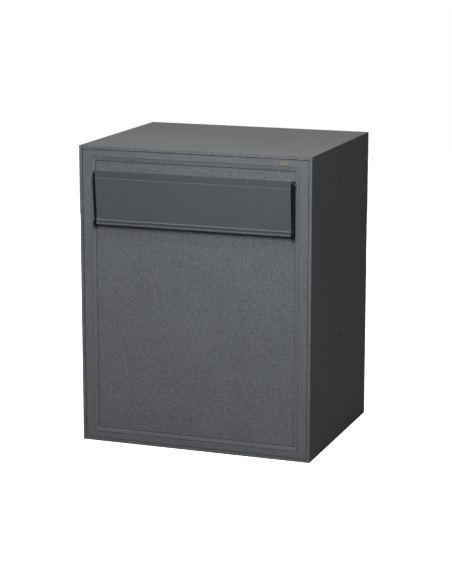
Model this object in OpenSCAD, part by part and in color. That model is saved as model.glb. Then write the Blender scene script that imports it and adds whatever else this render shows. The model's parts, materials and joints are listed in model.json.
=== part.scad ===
/* [Casing] */
// Outside width of the casing
case_w = 400; // [360:1:460]
// Outside depth of the casing, front edge to rear edge
case_d = 320; // [280:1:400]
// Outside height of the casing
case_h = 500; // [460:1:600]
// Sheet thickness of the casing and doors
sheet = 1.5; // [1.2:0.1:2]
// Width of the folded edge seen round the front
front_edge = 5; // [4:0.5:7]
// Width of the folded edge seen round the rear
rear_edge = 9; // [8:0.5:11]
// Radius of the side fixing holes
fixing_r = 4.5; // [3:0.5:5]
// Distance between the two fixing holes of one side
fixing_pitch = 264; // [220:1:300]
// Height of the lower fixing hole
fixing_low = 176; // [140:1:190]

/* [Front panel] */
// Width of the flat border beside the sunk field
border_w = 15.5; // [14:0.5:15.5]
// Height of the flat border above and below the sunk field
border_h = 11.5; // [10:0.5:14]
// Width of the sloping step between border and field
step_w = 6; // [4:1:8]
// Depth of the slope
slope_d = 1.2; // [0.8:0.1:2]
// Depth of the square drop at the foot of the slope
drop_d = 1.4; // [1:0.1:2]
// Width of the fine lines pressed round the step
line_w = 0.9; // [0.6:0.1:1.2]
// Depth of the fine lines
line_d = 0.9; // [0.5:0.1:1]
// Width of the slot
slot_w = 312; // [280:1:320]
// Height of the slot
slot_h = 74; // [60:1:76]

/* [Flap] */
// Length of the flap between its end cheeks
flap_w = 336; // [330:1:336]
// Sheet thickness of the flap
flap_t = 1.6; // [1.2:0.1:2]
// Distance of the hinge pin below the top of the casing
pin_drop = 45; // [43:1:50]
// Height of the flap below its pin
flap_drop = 81; // [78:1:84]
// Thickness of each end cheek
cheek_t = 4; // [3:0.5:4]
// Radius of the hinge pin
pin_r = 1.75; // [1.5:0.25:2]

/* [Rear door] */
// Depth of the folded rim of the rear door
door_d = 16; // [12:1:18]
// Distance of the lock from the middle of the door
lock_x = 163; // [150:1:166]
// Height of the lock
lock_z = 250; // [200:1:300]

/* [Hidden] */
$fn = 48;

front_y = -case_d / 2;
rear_y = case_d / 2;
gap = 1;
coat = "#5a5d61";
dark = "#4b4f53";
black = "#151719";
zinc = "#b4b8bb";
rubber = "#222324";

// front panel
panel_w = case_w - 2 * (front_edge + gap);
panel_h = case_h - 2 * (front_edge + gap);
panel_y = front_y + 0.8;
field_y = panel_y + slope_d + drop_d;
panel_rim = 18;
field_w = panel_w - 2 * border_w;
field_h = panel_h - 2 * border_h;
mid_z = case_h / 2;

// flap: the pin is the centre of the flap's own outline
pin_z = case_h - pin_drop;
pin_y = field_y - 6.3;
cheek_x = flap_w / 2;
ear_t = 5;
ear_r = 3.5;
boss_t = 0.8;
slot_top = pin_z - 8;
slot_low = slot_top - slot_h;
badge_x = 154;

// baffle inside the slot
rod_y = field_y + 34;
rod_z = pin_z + 12;
rod_r = 3;
baffle_w = 340;
baffle_h = 92;
bracket_x = 176;

// rear door
door_gap = 1.5;
door_w = case_w - 2 * (rear_edge + door_gap);
door_h = case_h - 2 * (rear_edge + door_gap);
seal_t = 2;
jamb_y = rear_y - door_d - 0.4 - seal_t;
jamb_w = 20;
hinge_x = -door_w / 2 - 1;
hinge_y = rear_y + 4.2;
knuckle_r = 3.6;
hinge_pin_r = 2;
hinge_zs = [110, 390];
barrel_r = 9;
plug_r = 6;
cam_y = jamb_y - sheet - 0.9;

// box from its lowest to its highest corner
module block(low, high) {
    translate(low) cube([high[0] - low[0], high[1] - low[1], high[2] - low[2]]);
}

// upright rectangle about the middle of the box, from y1 to y2
module slab(w, h, y1, y2, z = mid_z) {
    block([-w / 2, y1, z - h / 2], [w / 2, y2, z + h / 2]);
}

// rod along X, Y or Z from one point over a length
module rod_x(r, x, y, z, l) { translate([x, y, z]) rotate([0, 90, 0]) cylinder(r = r, h = l); }
module rod_y(r, x, y, z, l) { translate([x, y, z]) rotate([-90, 0, 0]) cylinder(r = r, h = l); }
module rod_z(r, x, y, z, l) { translate([x, y, z]) cylinder(r = r, h = l); }

// outline in the Y-Z plane drawn along X, measured from the flap's pin
module profile(points, x, l) {
    translate([x, pin_y, pin_z]) rotate([90, 0, 90]) linear_extrude(l) polygon(points);
}

module both_sides() {
    children();
    mirror([1, 0, 0]) children();
}

module casing_wrap() color(coat) {
    difference() {
        slab(case_w, case_h, front_y, rear_y);
        slab(case_w - 2 * sheet, case_h - 2 * sheet, front_y + sheet, rear_y - sheet);
        slab(case_w - 2 * front_edge, case_h - 2 * front_edge, front_y - 1, front_y + sheet + 1);
        slab(case_w - 2 * rear_edge, case_h - 2 * rear_edge, rear_y - sheet - 1, rear_y + 1);
        for (z = [fixing_low, fixing_low + fixing_pitch])
            rod_x(fixing_r, -case_w, 0, z, 2 * case_w);
    }
}

module rear_jamb() color(coat) {
    inner_w = case_w - 2 * sheet;
    inner_h = case_h - 2 * sheet;
    difference() {
        slab(inner_w, inner_h, jamb_y - 14, jamb_y);
        slab(inner_w - 2 * sheet, inner_h - 2 * sheet, jamb_y - 15, jamb_y - sheet);
        slab(case_w - 2 * jamb_w, case_h - 2 * jamb_w, jamb_y - 15, jamb_y + 1);
    }
}

// moulded backing pads behind the fixing holes
module fixing_plates() color(black) both_sides()
    for (z = [fixing_low, fixing_low + fixing_pitch]) difference() {
        block([case_w / 2 - sheet - 3, -20, z - 20], [case_w / 2 - sheet, 20, z + 20]);
        rod_x(fixing_r, 0, 0, z, case_w);
    }

// the sunk field as a solid, grown by one sheet on its back
module sunk_field(grow) {
    w = field_w + 2 * grow;
    h = field_h + 2 * grow;
    foot = panel_y + slope_d + grow;
    hull() {
        slab(w, h, panel_y + grow - 0.01, panel_y + grow);
        slab(w - 2 * step_w, h - 2 * step_w, foot - 0.01, foot);
    }
    slab(w - 2 * step_w, h - 2 * step_w, foot - 0.01, field_y + grow);
}

// fine line in the outline of a rectangle, sunk from the face at y
module pressed_line(w, h, y) difference() {
    slab(w, h, y - 1, y + line_d);
    slab(w - 2 * line_w, h - 2 * line_w, y - 2, y + line_d + 1);
}

module front_panel() color(coat) {
    difference() {
        union() {
            slab(panel_w, panel_h, panel_y, panel_y + sheet);
            sunk_field(sheet);
            difference() {
                slab(panel_w, panel_h, panel_y, panel_y + panel_rim);
                slab(panel_w - 2 * sheet, panel_h - 2 * sheet, panel_y - 1, panel_y + panel_rim + 1);
            }
        }
        sunk_field(0);
        pressed_line(field_w + 2 * line_w, field_h + 2 * line_w, panel_y);
        pressed_line(field_w - 2 * step_w, field_h - 2 * step_w, field_y);
        block([-slot_w / 2, panel_y, slot_low], [slot_w / 2, field_y + 9, slot_top]);
        for (x = [-1, 1], z = [70, 250, 430])
            rod_x(2, x * panel_w / 2 - 5, panel_y + 12, z, 10);
    }
}

module panel_rails() color(zinc) both_sides() difference() {
    block([panel_w / 2, panel_y + 5, 30], [case_w / 2 - sheet, panel_y + 17, case_h - 30]);
    for (z = [70, 250, 430]) rod_x(2, panel_w / 2 - 5, panel_y + 12, z, 20);
}

module panel_screws() color(zinc) both_sides() for (z = [70, 250, 430]) {
    rod_x(2, panel_w / 2 - sheet, panel_y + 12, z, 5);
    rod_x(3.6, panel_w / 2 - sheet - 2, panel_y + 12, z, 2);
}

module slot_collar() color(coat) {
    lip = 6;
    mid = (slot_top + slot_low) / 2;
    difference() {
        union() {
            slab(slot_w + 2 * sheet, slot_h + 2 * sheet, field_y + sheet, field_y + 22, mid);
            slab(slot_w + 2 * lip, slot_h + 2 * lip, field_y + sheet, field_y + 2 * sheet, mid);
        }
        slab(slot_w, slot_h, field_y, field_y + 30, mid);
    }
}

module slot_gasket() color(rubber) {
    mid = (slot_top + slot_low) / 2;
    difference() {
        slab(slot_w + 3, slot_h + 3, field_y - 1.2, field_y, mid);
        slab(slot_w, slot_h, field_y - 2, field_y + 1, mid);
    }
}

module blank_badge() color("#8f8f86")
    translate([badge_x, 0, 0]) slab(13, 6, panel_y - 0.6, panel_y, case_h - 11.8);

module flap_ears() color(black) both_sides() difference() {
    union() {
        rod_x(ear_r, cheek_x - 0.5 - ear_t, pin_y, pin_z, ear_t);
        block([cheek_x - 0.5 - ear_t, pin_y, pin_z - ear_r], [cheek_x - 0.5, field_y, pin_z + ear_r]);
    }
    rod_x(pin_r + 0.05, cheek_x - 20, pin_y, pin_z, 40);
}

// bent plate: upper band leaning in, a crease, a long face leaning back, two small noses at the foot
module flap_plate() color(dark) {
    outer = [[-7.8, 6.5], [-6, -5.4], [-6.9, -6.2], [-1.6, 7 - flap_drop], [-4.2, 5.2 - flap_drop],
        [-2.8, 1.2 - flap_drop], [-4.6, -flap_drop]];
    inner = [[-4.6, -1.6 - flap_drop], [-1.2, 0.4 - flap_drop], [-2.5, 4.9 - flap_drop],
        [0, 6.4 - flap_drop], [flap_t - 6.9, -7.2], [flap_t - 6, -5.3], [flap_t - 7.8, 6.5]];
    profile(concat(outer, inner), -flap_w / 2, flap_w);
}

// black end cheek: a round boss at the pin, a long arm and a square foot
module cheek() color(black) difference() {
    union() {
        rod_x(5.7, cheek_x, pin_y, pin_z, cheek_t);
        rod_x(4.5, cheek_x, pin_y, pin_z, cheek_t + boss_t);
        profile([[-5.4, 2], [-7.9, -6], [-2.6, 7.6 - flap_drop], [-5.4, 5.6 - flap_drop],
            [-5.8, -5 - flap_drop], [5, -5 - flap_drop], [5, 0]], cheek_x, cheek_t);
    }
    rod_x(pin_r, cheek_x - 1, pin_y, pin_z, cheek_t + 4);
}

module cheek_left() mirror([1, 0, 0]) cheek();
module cheek_right() cheek();

module flap_pin() color(zinc) {
    rod_x(pin_r, cheek_x - 22, pin_y, pin_z, 22 + cheek_t + boss_t);
    rod_x(2.3, cheek_x + cheek_t + boss_t, pin_y, pin_z, 0.5);
}

module flap_pin_left() mirror([1, 0, 0]) flap_pin();
module flap_pin_right() flap_pin();

// close coils round the pin, one leg on the panel and one behind the flap
module flap_spring() color(zinc) {
    wire = 0.45;
    coil = pin_r + 0.3 + wire;
    start = cheek_x - 20;
    turns = 12;
    for (i = [0:turns]) translate([start + i * wire * 1.8, pin_y, pin_z]) rotate([0, 90, 0])
        rotate_extrude($fn = 32) translate([coil, 0]) circle(r = wire, $fn = 16);
    rod_y(wire, start, pin_y - 0.3, pin_z + coil, field_y - pin_y + 0.3);
    rod_z(wire, start + turns * wire * 1.8, pin_y - coil, pin_z - 18, 18.3);
}

module flap_spring_left() mirror([1, 0, 0]) flap_spring();
module flap_spring_right() flap_spring();

module flap_bumpers() color(rubber) both_sides()
    rod_y(3, 161, pin_y + 0.5, pin_z - 68, field_y - pin_y - 0.5);

module baffle_brackets() color(zinc) both_sides() difference() {
    union() {
        block([bracket_x, field_y + 12, rod_z - 10], [bracket_x + 2, rod_y + 10, rod_z + 10]);
        block([bracket_x, field_y + sheet, rod_z - 10], [bracket_x + 10, field_y + 12, rod_z + 10]);
    }
    rod_x(rod_r, bracket_x - 1, rod_y, rod_z, 4);
}

module baffle_rod() color(zinc) rod_x(rod_r, -bracket_x - 4, rod_y, rod_z, 2 * bracket_x + 8);

// plate hanging from the rod in two rolled eyes
module baffle_plate() color(coat) difference() {
    union() {
        rod_x(rod_r + 1.6, -baffle_w / 2, rod_y, rod_z, baffle_w);
        block([-baffle_w / 2, rod_y + 1.6, rod_z - baffle_h], [baffle_w / 2, rod_y + 3.1, rod_z - 1]);
        block([-baffle_w / 2, rod_y + 1.6, rod_z - baffle_h], [baffle_w / 2, rod_y + 9,
            rod_z - baffle_h + sheet]);
    }
    rod_x(rod_r + 0.06, -bracket_x, rod_y, rod_z, 2 * bracket_x);
}

module baffle_clips() color(zinc) both_sides() difference() {
    rod_x(5, bracket_x + 2.2, rod_y, rod_z, 1);
    rod_x(rod_r, bracket_x, rod_y, rod_z, 5);
}

// sloping slide that sends a parcel back and down
module drop_chute() color(coat) {
    top = slot_low - 6.5;
    translate([-165, 0, 0]) rotate([90, 0, 90]) linear_extrude(330)
        polygon([[field_y + sheet, top], [field_y + 24, top], [field_y + 82, top - 70],
            [field_y + 80.6, top - 70.8], [field_y + 23.2, top - sheet], [field_y + 3, top - sheet],
            [field_y + 3, top - 24], [field_y + sheet, top - 24]]);
}

module chute_screws() color(zinc) for (x = [-140, 0, 140])
    rod_y(3.5, x, field_y + 3, slot_low - 18, 2);

module floor_mat() color(rubber)
    block([-185, front_y + 22, sheet], [185, jamb_y - 16, sheet + 2]);

module door_leaf() color(coat) difference() {
    slab(door_w, door_h, rear_y - door_d, rear_y);
    slab(door_w - 2 * sheet, door_h - 2 * sheet, rear_y - door_d - 1, rear_y - sheet);
    rod_y(barrel_r, lock_x, rear_y - 30, lock_z, 60);
}

module door_stiffener() color(coat) difference() {
    slab(90, door_h - 60, rear_y - 12, rear_y - sheet);
    slab(87, door_h - 40, rear_y - 12 + sheet, rear_y);
}

module door_seal() color(rubber) difference() {
    slab(door_w, door_h, jamb_y, jamb_y + seal_t);
    slab(door_w - 14, door_h - 14, jamb_y - 1, jamb_y + seal_t + 1);
}

// five-part knuckle: the casing holds both ends, the door holds the middle
module hinge_case_leaves() color(zinc) for (z = hinge_zs) difference() {
    union() for (s = [-1, 1]) {
        rod_z(knuckle_r, hinge_x, hinge_y, z + s * 23 - 8, 16);
        block([-case_w / 2 + 1, rear_y, z + s * 23 - 8], [hinge_x, rear_y + sheet, z + s * 23 + 8]);
    }
    rod_z(hinge_pin_r, hinge_x, hinge_y, z - 40, 80);
}

module hinge_door_leaves() color(zinc) for (z = hinge_zs) difference() {
    union() {
        rod_z(knuckle_r, hinge_x, hinge_y, z - 14.6, 29.2);
        block([hinge_x, rear_y, z - 14.6], [hinge_x + 26, rear_y + sheet, z + 14.6]);
    }
    rod_z(hinge_pin_r + 0.05, hinge_x, hinge_y, z - 40, 80);
}

module hinge_pins() color(zinc) for (z = hinge_zs) {
    rod_z(hinge_pin_r, hinge_x, hinge_y, z - 31, 62);
    rod_z(3, hinge_x, hinge_y, z + 31, 1.2);
}

module hinge_rivets() color(zinc) for (z = hinge_zs, s = [-1, 1])
    rod_y(2.6, hinge_x + 18, rear_y + sheet, z + s * 8, 1);

module lock_barrel() color(zinc) difference() {
    union() {
        rod_y(barrel_r, lock_x, cam_y + 0.3, lock_z, rear_y - cam_y - 0.3);
        rod_y(barrel_r + 2.5, lock_x, rear_y, lock_z, 2);
    }
    rod_y(plug_r + 0.06, lock_x, rear_y - 40, lock_z, 60);
}

module lock_nut() color(zinc) difference() {
    rod_y_hex(13, lock_x, rear_y - sheet - 5, lock_z, 5);
    rod_y(barrel_r, lock_x, rear_y - 20, lock_z, 30);
}

module rod_y_hex(r, x, y, z, l) {
    translate([x, y, z]) rotate([-90, 0, 0]) cylinder(r = r, h = l, $fn = 6);
}

module lock_plug() color(zinc) difference() {
    rod_y(plug_r, lock_x, cam_y, lock_z, rear_y + 2.4 - cam_y);
    block([lock_x - 0.6, rear_y - 18, lock_z - 4], [lock_x + 0.6, rear_y + 4, lock_z + 4]);
    rod_y(1.5, lock_x, cam_y - 1, lock_z, 3.4);
}

// hangs down while unlocked, turns towards the jamb to lock
module lock_cam() color(zinc) difference() {
    union() {
        rod_y(8, lock_x, cam_y - 2.5, lock_z, 2.5);
        block([lock_x - 8, cam_y - 2.5, lock_z - 24], [lock_x + 8, cam_y, lock_z]);
    }
    rod_y(1.5, lock_x, cam_y - 4, lock_z, 8);
}

module cam_screw() color(zinc) {
    rod_y(3.4, lock_x, cam_y - 4.7, lock_z, 2.2);
    rod_y(1.5, lock_x, cam_y - 2.5, lock_z, 4.9);
}

module key() color(zinc) {
    blade = 1.2;
    block([lock_x - blade / 2, rear_y - 18, lock_z - 3.4], [lock_x + blade / 2, rear_y + 8, lock_z + 3.4]);
    difference() {
        translate([lock_x - 1, rear_y + 18, lock_z]) rotate([0, 90, 0]) cylinder(r = 11, h = 2);
        translate([lock_x - 3, rear_y + 23, lock_z]) rotate([0, 90, 0]) cylinder(r = 2.5, h = 6);
    }
}

casing_wrap();
rear_jamb();
fixing_plates();
front_panel();
panel_rails();
panel_screws();
slot_collar();
slot_gasket();
blank_badge();
flap_ears();
flap_plate();
cheek_left();
cheek_right();
flap_pin_left();
flap_pin_right();
flap_spring_left();
flap_spring_right();
flap_bumpers();
baffle_brackets();
baffle_rod();
baffle_plate();
baffle_clips();
drop_chute();
chute_screws();
floor_mat();
door_leaf();
door_stiffener();
door_seal();
hinge_case_leaves();
hinge_door_leaves();
hinge_pins();
hinge_rivets();
lock_barrel();
lock_nut();
lock_plug();
lock_cam();
cam_screw();
key();
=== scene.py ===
import json
from math import cos, radians, sin

import bmesh
import bpy
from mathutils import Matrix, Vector


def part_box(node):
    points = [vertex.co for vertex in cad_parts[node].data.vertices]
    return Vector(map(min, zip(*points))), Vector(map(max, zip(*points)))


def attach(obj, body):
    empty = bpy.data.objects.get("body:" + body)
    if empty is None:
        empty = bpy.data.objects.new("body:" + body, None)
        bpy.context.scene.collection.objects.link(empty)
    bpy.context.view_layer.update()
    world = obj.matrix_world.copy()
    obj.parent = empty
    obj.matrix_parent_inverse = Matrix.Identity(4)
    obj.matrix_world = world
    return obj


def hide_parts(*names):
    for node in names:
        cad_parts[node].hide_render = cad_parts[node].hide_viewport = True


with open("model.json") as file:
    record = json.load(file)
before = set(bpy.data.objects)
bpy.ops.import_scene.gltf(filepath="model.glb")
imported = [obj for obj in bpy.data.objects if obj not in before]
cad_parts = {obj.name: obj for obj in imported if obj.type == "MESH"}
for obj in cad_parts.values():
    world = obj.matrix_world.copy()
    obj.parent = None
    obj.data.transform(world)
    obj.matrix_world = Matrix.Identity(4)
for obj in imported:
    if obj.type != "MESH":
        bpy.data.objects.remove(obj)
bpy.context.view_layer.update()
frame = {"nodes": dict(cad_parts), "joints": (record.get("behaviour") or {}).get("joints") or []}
nodes = frame["nodes"]

# Camera: a long lens stands to the right of the box's front and a little above its top,
# so that the front, the top and the right side all show.
azimuth, elevation = radians(20.1), radians(12.35)
camera_data = bpy.data.cameras.new("camera")
camera_data.lens = 118.0
camera_data.sensor_width = 36.0
camera_data.clip_end = 50.0
camera = bpy.data.objects.new("camera", camera_data)
camera.location = (1.0945, -2.9975, 0.935)
camera.rotation_euler = (radians(90) - elevation, 0, azimuth)
bpy.context.collection.objects.link(camera)
bpy.context.scene.camera = camera

# Studio: a pale floor and four soft lights, above the front, to the left, overhead and
# behind. Floor and world look white to the camera, but light the box only a little.
bpy.context.scene.view_settings.view_transform = "Standard"
floor_mesh = bpy.data.meshes.new("floor")
floor_half = 3.2
corners = [(-1, -1), (1, -1), (1, 1), (-1, 1)]
floor_mesh.from_pydata([(x * floor_half, y * floor_half, 0) for x, y in corners], [], [(0, 1, 2, 3)])
floor = bpy.data.objects.new("floor", floor_mesh)
bpy.context.collection.objects.link(floor)
floor_paint = bpy.data.materials.new("pale_floor")
floor_paint.use_nodes = True
floor_shader = floor_paint.node_tree.nodes["Principled BSDF"]
floor_shader.inputs["Base Color"].default_value = (0.93, 0.93, 0.93, 1)
floor_shader.inputs["Roughness"].default_value = 0.8
floor_shader.inputs["Emission Color"].default_value = (1, 1, 1, 1)
floor_shader.inputs["Emission Strength"].default_value = 0.82
floor_tree = floor_paint.node_tree
dim_bounce = floor_tree.nodes.new("ShaderNodeBsdfDiffuse")
dim_bounce.inputs["Color"].default_value = (0.12, 0.12, 0.12, 1)
floor_ray = floor_tree.nodes.new("ShaderNodeLightPath")
floor_mix = floor_tree.nodes.new("ShaderNodeMixShader")
floor_tree.links.new(floor_ray.outputs["Is Camera Ray"], floor_mix.inputs[0])
floor_tree.links.new(dim_bounce.outputs[0], floor_mix.inputs[1])
floor_tree.links.new(floor_shader.outputs[0], floor_mix.inputs[2])
floor_tree.links.new(floor_mix.outputs[0], floor_tree.nodes["Material Output"].inputs["Surface"])
floor_mesh.materials.append(floor_paint)

world = bpy.data.worlds.new("studio")
bpy.context.scene.world = world
world.use_nodes = True
sky = world.node_tree
sky.nodes.clear()
seen = sky.nodes.new("ShaderNodeBackground")
seen.inputs["Color"].default_value = (1, 1, 1, 1)
lit = sky.nodes.new("ShaderNodeBackground")
lit.inputs["Color"].default_value = (1, 0.985, 0.955, 1)
lit.inputs["Strength"].default_value = 0.092
camera_ray = sky.nodes.new("ShaderNodeLightPath")
either = sky.nodes.new("ShaderNodeMixShader")
sky_out = sky.nodes.new("ShaderNodeOutputWorld")
sky.links.new(camera_ray.outputs["Is Camera Ray"], either.inputs[0])
sky.links.new(lit.outputs[0], either.inputs[1])
sky.links.new(seen.outputs[0], either.inputs[2])
sky.links.new(either.outputs[0], sky_out.inputs["Surface"])


def soft_light(name, place, target, size, power, tint=(1, 1, 1)):
    data = bpy.data.lights.new(name, "AREA")
    data.shape = "SQUARE"
    data.size = size
    data.energy = power
    data.color = tint
    light = bpy.data.objects.new(name, data)
    light.location = place
    light.rotation_euler = (Vector(target) - Vector(place)).to_track_quat("-Z", "Y").to_euler()
    bpy.context.collection.objects.link(light)
    return light


key_light = soft_light("key_light", (0.24, -1.0, 0.96), (0, 0, 0.48), 0.45, 12.7)
key_light.visible_glossy = False
soft_light("left_light", (-2.2, 0.2, 0.24), (0, 0.1, 0.25), 0.45, 16)
soft_light("top_light", (0, -0.6, 3.6), (0, -0.3, 0), 3.0, 124, (1, 0.968, 0.90))
soft_light("rear_light", (-0.8, 2.0, 0.24), (0, 0, 0.25), 0.45, 34)


# Powder coat: the steel casing, front, door and inner sheets are sprayed with a fine
# textured powder and baked. It sets in small rounded grains that shift a little in colour.
def new_group(name, inputs, outputs):
    tree = bpy.data.node_groups.new(name, "ShaderNodeTree")
    for label, kind, value in inputs:
        socket = tree.interface.new_socket(label, in_out="INPUT", socket_type=kind)
        socket.default_value = value
    for label, kind in outputs:
        tree.interface.new_socket(label, in_out="OUTPUT", socket_type=kind)
    start = tree.nodes.new("NodeGroupInput")
    end = tree.nodes.new("NodeGroupOutput")
    place = tree.nodes.new("ShaderNodeTexCoord")
    return tree, start, end, place.outputs["Object"]


def noise(tree, place, scale, detail, roughness):
    node = tree.nodes.new("ShaderNodeTexNoise")
    node.inputs["Scale"].default_value = scale
    node.inputs["Detail"].default_value = detail
    node.inputs["Roughness"].default_value = roughness
    tree.links.new(place, node.inputs["Vector"])
    return node.outputs["Fac"]


def span(tree, value, low, high, to_low, to_high):
    node = tree.nodes.new("ShaderNodeMapRange")
    for label, number in zip(("From Min", "From Max", "To Min", "To Max"), (low, high, to_low, to_high)):
        node.inputs[label].default_value = number
    tree.links.new(value, node.inputs["Value"])
    return node.outputs["Result"]


def maths(tree, kind, a, b):
    node = tree.nodes.new("ShaderNodeMath")
    node.operation = kind
    for socket, value in zip(node.inputs, (a, b)):
        if isinstance(value, (int, float)):
            socket.default_value = value
        else:
            tree.links.new(value, socket)
    return node.outputs[0]


def tinted(tree, colour, factor):
    node = tree.nodes.new("ShaderNodeVectorMath")
    node.operation = "SCALE"
    tree.links.new(colour, node.inputs[0])
    tree.links.new(factor, node.inputs["Scale"])
    return node.outputs[0]


coat_group, coat_in, coat_out, coat_place = new_group(
    "powder_grain",
    [("Color", "NodeSocketColor", (0.1, 0.1, 0.1, 1)), ("Grain", "NodeSocketFloat", 1.0)],
    [("Color", "NodeSocketColor"), ("Roughness", "NodeSocketFloat"), ("Height", "NodeSocketFloat")],
)
fine = noise(coat_group, coat_place, 560, 3, 0.65)
broad = noise(coat_group, coat_place, 9, 3, 0.5)
fleck = maths(coat_group, "MULTIPLY", span(coat_group, fine, 0.3, 0.7, -0.46, 0.46), coat_in.outputs["Grain"])
cloud = span(coat_group, broad, 0.3, 0.7, 0.96, 1.04)
shade = maths(coat_group, "ADD", fleck, cloud)
coat_group.links.new(tinted(coat_group, coat_in.outputs["Color"], shade), coat_out.inputs["Color"])
coat_group.links.new(span(coat_group, fine, 0.3, 0.7, 0.46, 0.60), coat_out.inputs["Roughness"])
coat_group.links.new(fine, coat_out.inputs["Height"])


def material_with(name, group, values, bump, distance, metallic=0.0, gloss=0.5):
    paint = bpy.data.materials.new(name)
    paint.use_nodes = True
    tree = paint.node_tree
    shader = tree.nodes["Principled BSDF"]
    shader.inputs["Metallic"].default_value = metallic
    shader.inputs["Specular IOR Level"].default_value = gloss
    effect = tree.nodes.new("ShaderNodeGroup")
    effect.node_tree = group
    for label, value in values.items():
        effect.inputs[label].default_value = value
    relief = tree.nodes.new("ShaderNodeBump")
    relief.inputs["Strength"].default_value = bump
    relief.inputs["Distance"].default_value = distance
    tree.links.new(effect.outputs["Color"], shader.inputs["Base Color"])
    tree.links.new(effect.outputs["Roughness"], shader.inputs["Roughness"])
    tree.links.new(effect.outputs["Height"], relief.inputs["Height"])
    tree.links.new(relief.outputs["Normal"], shader.inputs["Normal"])
    return paint


def finish_nodes(names, paint, round_edge=0.0, edge_paint=None):
    for name in names:
        mesh = nodes[name].data
        mesh.materials.clear()
        mesh.materials.append(paint)
        if edge_paint:
            mesh.materials.append(edge_paint)
        mesh.shade_smooth()
        mesh.set_sharp_from_angle(angle=radians(32))
        if round_edge:
            fold = nodes[name].modifiers.new("folded_edge", "BEVEL")
            fold.width = round_edge
            fold.segments = 3
            fold.limit_method = "ANGLE"
            fold.angle_limit = radians(35)
            fold.harden_normals = True
            fold.material = 1 if edge_paint else -1


# Casing and front: the shell, the front panel and the door are 1.5 mm steel sheet, folded
# on a press so that every outer edge is a small bend. The shell's outer bends get a pale
# second paint, a painted highlight for the light that the rounded bends catch.
anthracite = material_with("anthracite_coat", coat_group,
                           {"Color": (0.115, 0.1225, 0.1335, 1), "Grain": 1.0}, 0.22, 0.0004, gloss=0.42)
# painted highlight: pale paint on the shell's bevelled bends, standing in for light caught there
rubbed_edge = material_with("rubbed_edge_coat", coat_group,
                            {"Color": (0.46, 0.47, 0.48, 1), "Grain": 0.3}, 0.08, 0.0003)
finish_nodes(["casing_wrap"], anthracite, 0.0013, rubbed_edge)
finish_nodes(["rear_jamb", "front_panel", "door_leaf"], anthracite, 0.0005)
finish_nodes(["slot_collar", "baffle_plate", "drop_chute", "door_stiffener"], anthracite, 0.0003)

# Flap: one plate folded on a press, with a crease near its top and two small noses along
# its foot to lift it by. Its satin coat is darker and smoother than the casing's.
flap_coat = material_with("flap_satin", coat_group,
                          {"Color": (0.074, 0.080, 0.087, 1), "Grain": 0.45}, 0.10, 0.0003, gloss=0.45)
finish_nodes(["flap_plate"], flap_coat, 0.0003)

# Moulded black plastic: the flap's end cheeks and its hinge ears come out of a mould that
# has been spark finished, so they are dull black. The pads behind the fixing holes take the
# same black as painted shade, standing in for the dark inside of the holes.
plastic_group, plastic_in, plastic_out, plastic_place = new_group(
    "spark_finish",
    [("Color", "NodeSocketColor", (0.01, 0.01, 0.01, 1))],
    [("Color", "NodeSocketColor"), ("Roughness", "NodeSocketFloat"), ("Height", "NodeSocketFloat")],
)
spark = noise(plastic_group, plastic_place, 1400, 2, 0.5)
plastic_shade = span(plastic_group, spark, 0.3, 0.7, 0.85, 1.2)
plastic_group.links.new(tinted(plastic_group, plastic_in.outputs["Color"], plastic_shade),
                        plastic_out.inputs["Color"])
plastic_group.links.new(span(plastic_group, spark, 0.3, 0.7, 0.36, 0.5), plastic_out.inputs["Roughness"])
plastic_group.links.new(spark, plastic_out.inputs["Height"])
black = material_with("black_moulding", plastic_group, {"Color": (0.0045, 0.005, 0.0055, 1)},
                      0.15, 0.0002, gloss=0.3)
# the fixing_plates pads are painted shade: their black stands in for the shade inside the fixing holes
finish_nodes(["cheek_left", "cheek_right", "flap_ears", "fixing_plates"], black, 0.0004)

# Rubber: the slot gasket, the flap's bumpers, the door seal and the loose floor mat are
# black rubber, matt and a little dusty. The gasket and seal are glued to the sheet.
rubber = material_with("rubber", plastic_group, {"Color": (0.018, 0.018, 0.019, 1)}, 0.3, 0.0004)
finish_nodes(["slot_gasket", "flap_bumpers", "door_seal", "floor_mat"], rubber, 0.0003)

# Bright metal: zinc plate on brackets, hinges and screws; drawn steel on pins and
# springs; nickel on the lock. Fine lines run one way, with a faint clouding.
metal_group, metal_in, metal_out, metal_place = new_group(
    "drawn_lines",
    [("Color", "NodeSocketColor", (0.6, 0.6, 0.6, 1)), ("Dullness", "NodeSocketFloat", 0.3)],
    [("Color", "NodeSocketColor"), ("Roughness", "NodeSocketFloat"), ("Height", "NodeSocketFloat")],
)
stretch = metal_group.nodes.new("ShaderNodeVectorMath")
stretch.operation = "MULTIPLY"
stretch.inputs[1].default_value = (0.06, 1, 1)
metal_group.links.new(metal_place, stretch.inputs[0])
lines = noise(metal_group, stretch.outputs[0], 1800, 2, 0.5)
clouds = noise(metal_group, metal_place, 120, 4, 0.6)
metal_shade = span(metal_group, clouds, 0.3, 0.7, 0.82, 1.1)
metal_group.links.new(tinted(metal_group, metal_in.outputs["Color"], metal_shade), metal_out.inputs["Color"])
metal_group.links.new(maths(metal_group, "ADD", span(metal_group, clouds, 0.3, 0.7, -0.06, 0.08),
                            metal_in.outputs["Dullness"]), metal_out.inputs["Roughness"])
metal_group.links.new(lines, metal_out.inputs["Height"])
zinc = material_with("zinc_plate", metal_group, {"Color": (0.42, 0.43, 0.44, 1), "Dullness": 0.48},
                     0.12, 0.0001, metallic=1.0)
steel = material_with("drawn_steel", metal_group, {"Color": (0.62, 0.62, 0.62, 1), "Dullness": 0.26},
                      0.08, 0.0001, metallic=1.0)
nickel = material_with("nickel_plate", metal_group, {"Color": (0.72, 0.71, 0.69, 1), "Dullness": 0.16},
                       0.04, 0.0001, metallic=1.0)
badge_metal = material_with("badge_metal", metal_group, {"Color": (0.24, 0.23, 0.195, 1), "Dullness": 0.42},
                            0.10, 0.0001, metallic=0.3)
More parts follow.
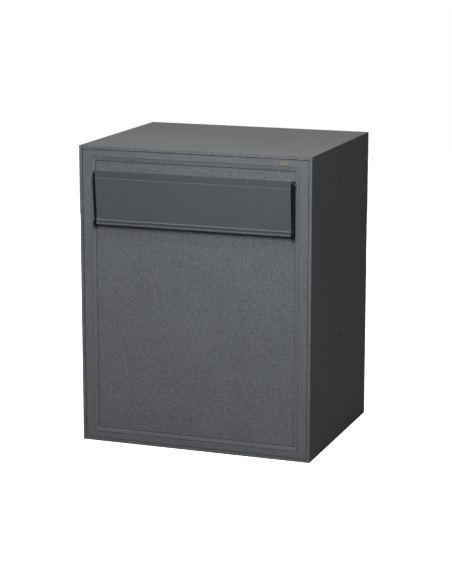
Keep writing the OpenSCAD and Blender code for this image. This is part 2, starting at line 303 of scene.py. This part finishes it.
finish_nodes(["panel_rails", "panel_screws", "baffle_brackets", "chute_screws",
              "hinge_case_leaves", "hinge_door_leaves", "hinge_rivets", "lock_nut", "lock_cam",
              "cam_screw"], zinc, 0.0002)
finish_nodes(["flap_pin_left", "flap_pin_right", "flap_spring_left", "flap_spring_right", "baffle_rod",
              "baffle_clips", "hinge_pins"], steel)
finish_nodes(["lock_barrel", "lock_plug", "key"], nickel, 0.0002)
finish_nodes(["blank_badge"], badge_metal, 0.0001)

# Torsion springs: 0.9 mm wire wound on each flap pin in close turns, one leg pressing
# on the front panel and the other behind the flap. Each is one continuous wire.
pin_axis = Vector(next(j for j in frame["joints"] if j["name"] == "flap_hinge")["pos_m"])
spring_turns, turn_steps = 12, 20
wire_radius, coil_radius, coil_inset = 0.00043, 0.0025, 0.0005
leg_gap, foot_gap = 0.0002, 0.0003
for side, name in ((-1, "flap_spring_left"), (1, "flap_spring_right")):
    low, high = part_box(name)
    inner = high.x if side < 0 else low.x
    pitch = (high.x - low.x - 2 * coil_inset) / spring_turns
    route = [(inner + side * coil_inset, high.y - leg_gap, pin_axis.z + coil_radius)]
    for step in range(spring_turns * turn_steps + turn_steps // 4 + 1):
        turn = radians(90) + step / turn_steps * radians(360)
        across = min(step / turn_steps, spring_turns) * pitch
        route.append((inner + side * (coil_inset + across), pin_axis.y + coil_radius * cos(turn),
                      pin_axis.z + coil_radius * sin(turn)))
    route.append((route[-1][0], route[-1][1], low.z + foot_gap))
    wire = bpy.data.curves.new(name + "_wire", "CURVE")
    wire.dimensions = "3D"
    wire.bevel_depth = wire_radius
    wire.bevel_resolution = 3
    wire.use_fill_caps = True
    thread = wire.splines.new("POLY")
    thread.points.add(len(route) - 1)
    for point, place in zip(thread.points, route):
        point.co = (*place, 1)
    spring = bpy.data.objects.new(name + "_wire", wire)
    bpy.context.collection.objects.link(spring)
    wire.materials.append(steel)
    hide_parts(name)
    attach(spring, "casing")

# Floor mat: a moulded rubber sheet with fine ribs running front to back, which stop a
# dropped parcel sliding. It is laid loose on the casing's floor and can be lifted out.
mat_low, mat_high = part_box("floor_mat")
rib_pitch, rib_foot, rib_crown, rib_rise = 0.006, 0.003, 0.0014, 0.0009
mat_margin, rib_sink = 0.004, 0.0001
rib_slope = (rib_foot - rib_crown) / 2
ribs = bmesh.new()
rib_count = int((mat_high.x - mat_low.x - 2 * mat_margin) / rib_pitch)
for index in range(rib_count):
    left = mat_low.x + mat_margin + (index + 0.25) * rib_pitch
    section = [(left, 0), (left + rib_slope, rib_rise), (left + rib_foot - rib_slope, rib_rise),
               (left + rib_foot, 0)]
    ends = []
    for y in (mat_low.y + mat_margin, mat_high.y - mat_margin):
        ends.append([ribs.verts.new((x, y, mat_high.z - rib_sink + rise)) for x, rise in section])
    for k in range(4):
        ribs.faces.new((ends[0][k], ends[0][(k + 1) % 4], ends[1][(k + 1) % 4], ends[1][k]))
    ribs.faces.new(reversed(ends[0]))
    ribs.faces.new(ends[1])
bmesh.ops.recalc_face_normals(ribs, faces=ribs.faces)
rib_mesh = bpy.data.meshes.new("floor_mat_ribs")
ribs.to_mesh(rib_mesh)
rib_mesh.materials.append(rubber)
rib_piece = bpy.data.objects.new("floor_mat_ribs", rib_mesh)
bpy.context.collection.objects.link(rib_piece)
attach(rib_piece, "casing")

# Key: a flat nickel plated brass key with a round bow, a hanging hole and a cut blade.
# It is stamped from strip with softened edges, and stands in the lock's plug.
key_low, key_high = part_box("key")
key_z = (key_low.z + key_high.z) / 2
bow_radius = (key_high.z - key_low.z) / 2
bow_y = key_high.y - bow_radius
blade_half, blade_tip, shoulder = 0.0032, 0.002, 0.002
hole_radius, hole_inset = 0.0025, 0.0055
key_cuts = (0.0006, 0.0016, 0.0004, 0.0012, 0.0018, 0.0008)
rim = [(bow_y + bow_radius * cos(radians(a)), bow_radius * 0.92 * sin(radians(a)))
       for a in range(-150, 151, 10)]
blade_start = bow_y - bow_radius - shoulder
rim.append((blade_start, blade_half))
rim.append((key_low.y + blade_tip, blade_half))
rim.append((key_low.y, blade_half * 0.3))
tooth = (blade_start - shoulder - key_low.y) / len(key_cuts)
for index, cut in enumerate(key_cuts):
    rim.append((key_low.y + tooth * (index + 0.4), -blade_half + cut))
    rim.append((key_low.y + tooth * (index + 0.75), -blade_half + cut))
rim.append((blade_start, -blade_half))
hole = [(key_high.y - hole_inset + hole_radius * cos(radians(a)), hole_radius * sin(radians(a)))
        for a in range(0, 360, 18)]
key_outline = bpy.data.curves.new("key_outline", "CURVE")
key_outline.dimensions = "2D"
key_outline.fill_mode = "BOTH"
key_outline.extrude = 0.00042
key_outline.bevel_depth = 0.00015
key_outline.bevel_resolution = 2
for loop in (rim, hole):
    edge = key_outline.splines.new("POLY")
    edge.points.add(len(loop) - 1)
    edge.use_cyclic_u = True
    for point, (along, up) in zip(edge.points, loop):
        point.co = (along, up, 0, 1)
key_outline.materials.append(nickel)
key_piece = bpy.data.objects.new("key_plate", key_outline)
key_piece.rotation_euler = (radians(90), 0, radians(90))
key_piece.location = ((key_low.x + key_high.x) / 2, 0, key_z)
bpy.context.collection.objects.link(key_piece)
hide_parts("key")
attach(key_piece, "lock_core")


# Fasteners: the chute and cam screws are zinc plated steel with low domed heads and a
# hexagon socket; the hinge rivets are pressed over into plain domes on the door leaf.
def domed_head(name, place, axis, radius, rise, socket, body):
    shell = bmesh.new()
    sides = 24
    dome = [(radius, 0), (radius, rise * 0.35), (radius * 0.93, rise * 0.65),
            (radius * 0.75, rise * 0.9), (radius * 0.55, rise)]
    hexagon = [(radius * 0.5, rise), (radius * 0.46, rise * 0.3)] if socket else []
    rings = []
    for level, (reach, height) in enumerate(dome + hexagon):
        ring = []
        for k in range(sides):
            turn = radians(360) * k / sides
            wall = reach
            if level >= len(dome):
                wall = reach * cos(radians(30)) / cos((turn % radians(60)) - radians(30))
            ring.append(shell.verts.new((wall * cos(turn), wall * sin(turn), height)))
        rings.append(ring)
    for below, above in zip(rings, rings[1:]):
        for k in range(sides):
            after = (k + 1) % sides
            shell.faces.new((below[k], below[after], above[after], above[k]))
    shell.faces.new(rings[-1])
    shell.faces.new(reversed(rings[0]))
    mesh = bpy.data.meshes.new(name)
    shell.to_mesh(mesh)
    mesh.materials.append(zinc)
    mesh.shade_smooth()
    mesh.set_sharp_from_angle(angle=radians(40))
    head = bpy.data.objects.new(name, mesh)
    head.location = place
    head.rotation_euler = Vector(axis).to_track_quat("Z", "Y").to_euler()
    bpy.context.collection.objects.link(head)
    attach(head, body)


chute_low, chute_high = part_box("chute_screws")
chute_z = (chute_low.z + chute_high.z) / 2
chute_radius = (chute_high.z - chute_low.z) / 2
chute_end = chute_high.x - chute_radius
for index, x in enumerate((-chute_end, 0, chute_end)):
    domed_head(f"chute_head_{index}", (x, chute_high.y, chute_z), (0, 1, 0),
               radius=0.0034, rise=0.0012, socket=True, body="casing")
rivet_low, rivet_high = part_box("hinge_rivets")
rivet_radius, rivet_pitch, head_sink = (rivet_high.x - rivet_low.x) / 2, 0.016, 0.0002
low_rivet, top_rivet = rivet_low.z + rivet_radius, rivet_high.z - rivet_radius
for index, z in enumerate((low_rivet, low_rivet + rivet_pitch, top_rivet - rivet_pitch, top_rivet)):
    domed_head(f"rivet_dome_{index}", (rivet_low.x + rivet_radius, rivet_high.y - head_sink, z),
               (0, 1, 0), radius=0.0025, rise=0.0008, socket=False, body="rear_door")
cam_low, cam_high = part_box("cam_screw")
cam_middle = (cam_low + cam_high) / 2
domed_head("cam_screw_head", (cam_middle.x, cam_low.y + head_sink / 2, cam_middle.z), (0, -1, 0),
           radius=0.0033, rise=0.001, socket=True, body="lock_core")
